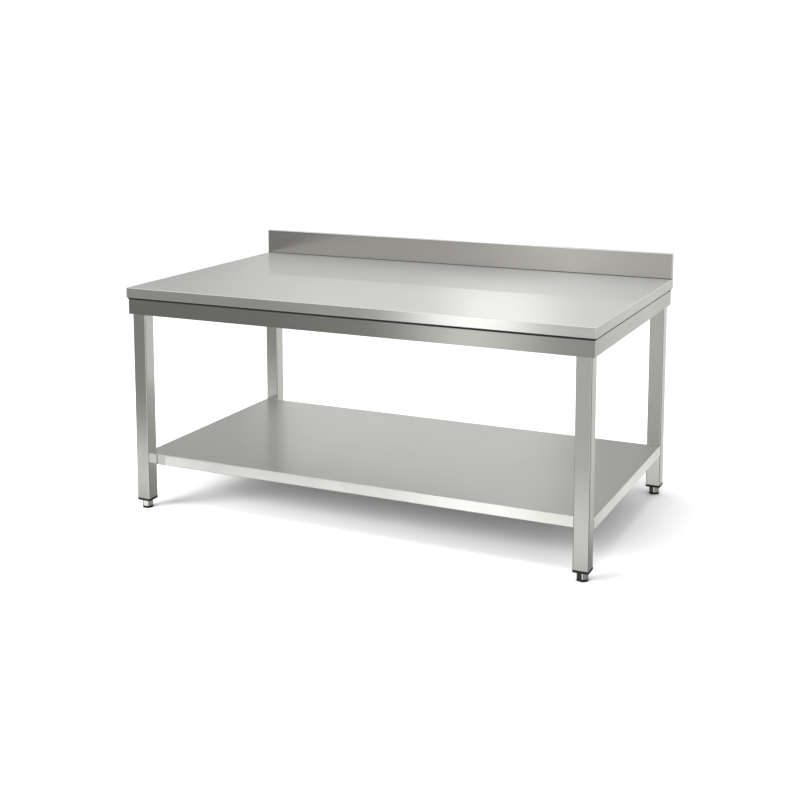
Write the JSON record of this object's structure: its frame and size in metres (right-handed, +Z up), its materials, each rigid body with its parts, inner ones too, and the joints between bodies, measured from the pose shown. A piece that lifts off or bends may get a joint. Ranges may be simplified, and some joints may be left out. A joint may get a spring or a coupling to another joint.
{
  "type": "stainless steel work table",
  "caption": "Rectangular stainless steel work table with a low upstand along the back, square legs on adjustable hexagonal feet, and a full-length lower shelf.",
  "frame": {"origin": "on the floor under the middle of the table", "axes": "+X right along the table's length, +Y towards the upstand at the back, +Z up"},
  "size_m": [1.8, 1.05, 0.95],
  "materials": {
    "stainless_sheet": "fine brushed grain along each sheet, semi-bright",
    "stainless_tube": "brushed along the tube",
    "stainless_plate": "mill finish with weld tint",
    "bright_steel": "turned and polished",
    "zinc_fasteners": "zinc plated",
    "brass_inserts": "plain machined",
    "black_plastic": "moulded, fine texture",
    "core_board": "raw laminated board with sealed edges"
  },
  "bodies": {
    "table": {"worktop": "stainless_sheet", "core_panel": "core_board", "front_band": "stainless_sheet", "rear_band": "stainless_sheet", "left_band": "stainless_sheet", "right_band": "stainless_sheet", "left_cross_rail": "stainless_sheet", "centre_cross_rail": "stainless_sheet", "right_cross_rail": "stainless_sheet", "band_packers": "stainless_plate", "lip_seal": "black_plastic", "shelf": "stainless_sheet", "front_shelf_stiffener": "stainless_sheet", "rear_shelf_stiffener": "stainless_sheet", "shelf_bolts": "zinc_fasteners", "shelf_washers": "zinc_fasteners", "shelf_nuts": "zinc_fasteners", "plate_bolts": "zinc_fasteners", "plate_washers": "zinc_fasteners", "plate_threaded_inserts": "brass_inserts", "front_left_leg": "stainless_tube", "front_left_leg_plate": "stainless_plate", "front_left_leg_insert": "black_plastic", "front_left_foot_bush": "zinc_fasteners", "front_right_leg": "stainless_tube", "front_right_leg_plate": "stainless_plate", "front_right_leg_insert": "black_plastic", "front_right_foot_bush": "zinc_fasteners", "rear_left_leg": "stainless_tube", "rear_left_leg_plate": "stainless_plate", "rear_left_leg_insert": "black_plastic", "rear_left_foot_bush": "zinc_fasteners", "rear_right_leg": "stainless_tube", "rear_right_leg_plate": "stainless_plate", "rear_right_leg_insert": "black_plastic", "rear_right_foot_bush": "zinc_fasteners"},
    "front_left_pad": {"front_left_foot_pad": "black_plastic"},
    "front_left_spindle": {"front_left_foot_spindle": "bright_steel"},
    "front_right_pad": {"front_right_foot_pad": "black_plastic"},
    "front_right_spindle": {"front_right_foot_spindle": "bright_steel"},
    "rear_left_pad": {"rear_left_foot_pad": "black_plastic"},
    "rear_left_spindle": {"rear_left_foot_spindle": "bright_steel"},
    "rear_right_pad": {"rear_right_foot_pad": "black_plastic"},
    "rear_right_spindle": {"rear_right_foot_spindle": "bright_steel"}
  },
  "joints": [
    {"name": "front_left_foot_travel", "type": "slide", "parent": "table", "child": "front_left_pad", "axis": [0, 0, -1], "range_m": [0, 0.03]},
    {"name": "front_left_foot_screw", "type": "hinge", "parent": "front_left_pad", "child": "front_left_spindle", "pos_m": [-0.857, -0.482, 0.02], "axis": [0, 0, -1], "range_deg": [0, 7200]},
    {"name": "front_right_foot_travel", "type": "slide", "parent": "table", "child": "front_right_pad", "axis": [0, 0, -1], "range_m": [0, 0.03]},
    {"name": "front_right_foot_screw", "type": "hinge", "parent": "front_right_pad", "child": "front_right_spindle", "pos_m": [0.857, -0.482, 0.02], "axis": [0, 0, -1], "range_deg": [0, 7200]},
    {"name": "rear_left_foot_travel", "type": "slide", "parent": "table", "child": "rear_left_pad", "axis": [0, 0, -1], "range_m": [0, 0.03]},
    {"name": "rear_left_foot_screw", "type": "hinge", "parent": "rear_left_pad", "child": "rear_left_spindle", "pos_m": [-0.857, 0.482, 0.02], "axis": [0, 0, -1], "range_deg": [0, 7200]},
    {"name": "rear_right_foot_travel", "type": "slide", "parent": "table", "child": "rear_right_pad", "axis": [0, 0, -1], "range_m": [0, 0.03]},
    {"name": "rear_right_foot_screw", "type": "hinge", "parent": "rear_right_pad", "child": "rear_right_spindle", "pos_m": [0.857, 0.482, 0.02], "axis": [0, 0, -1], "range_deg": [0, 7200]}
  ],
  "couplings": [
    {"joint": "front_left_foot_travel", "follows": "front_left_foot_screw", "m_per_rad": 0.00023873},
    {"joint": "front_right_foot_travel", "follows": "front_right_foot_screw", "m_per_rad": 0.00023873},
    {"joint": "rear_left_foot_travel", "follows": "rear_left_foot_screw", "m_per_rad": 0.00023873},
    {"joint": "rear_right_foot_travel", "follows": "rear_right_foot_screw", "m_per_rad": 0.00023873}
  ]
}
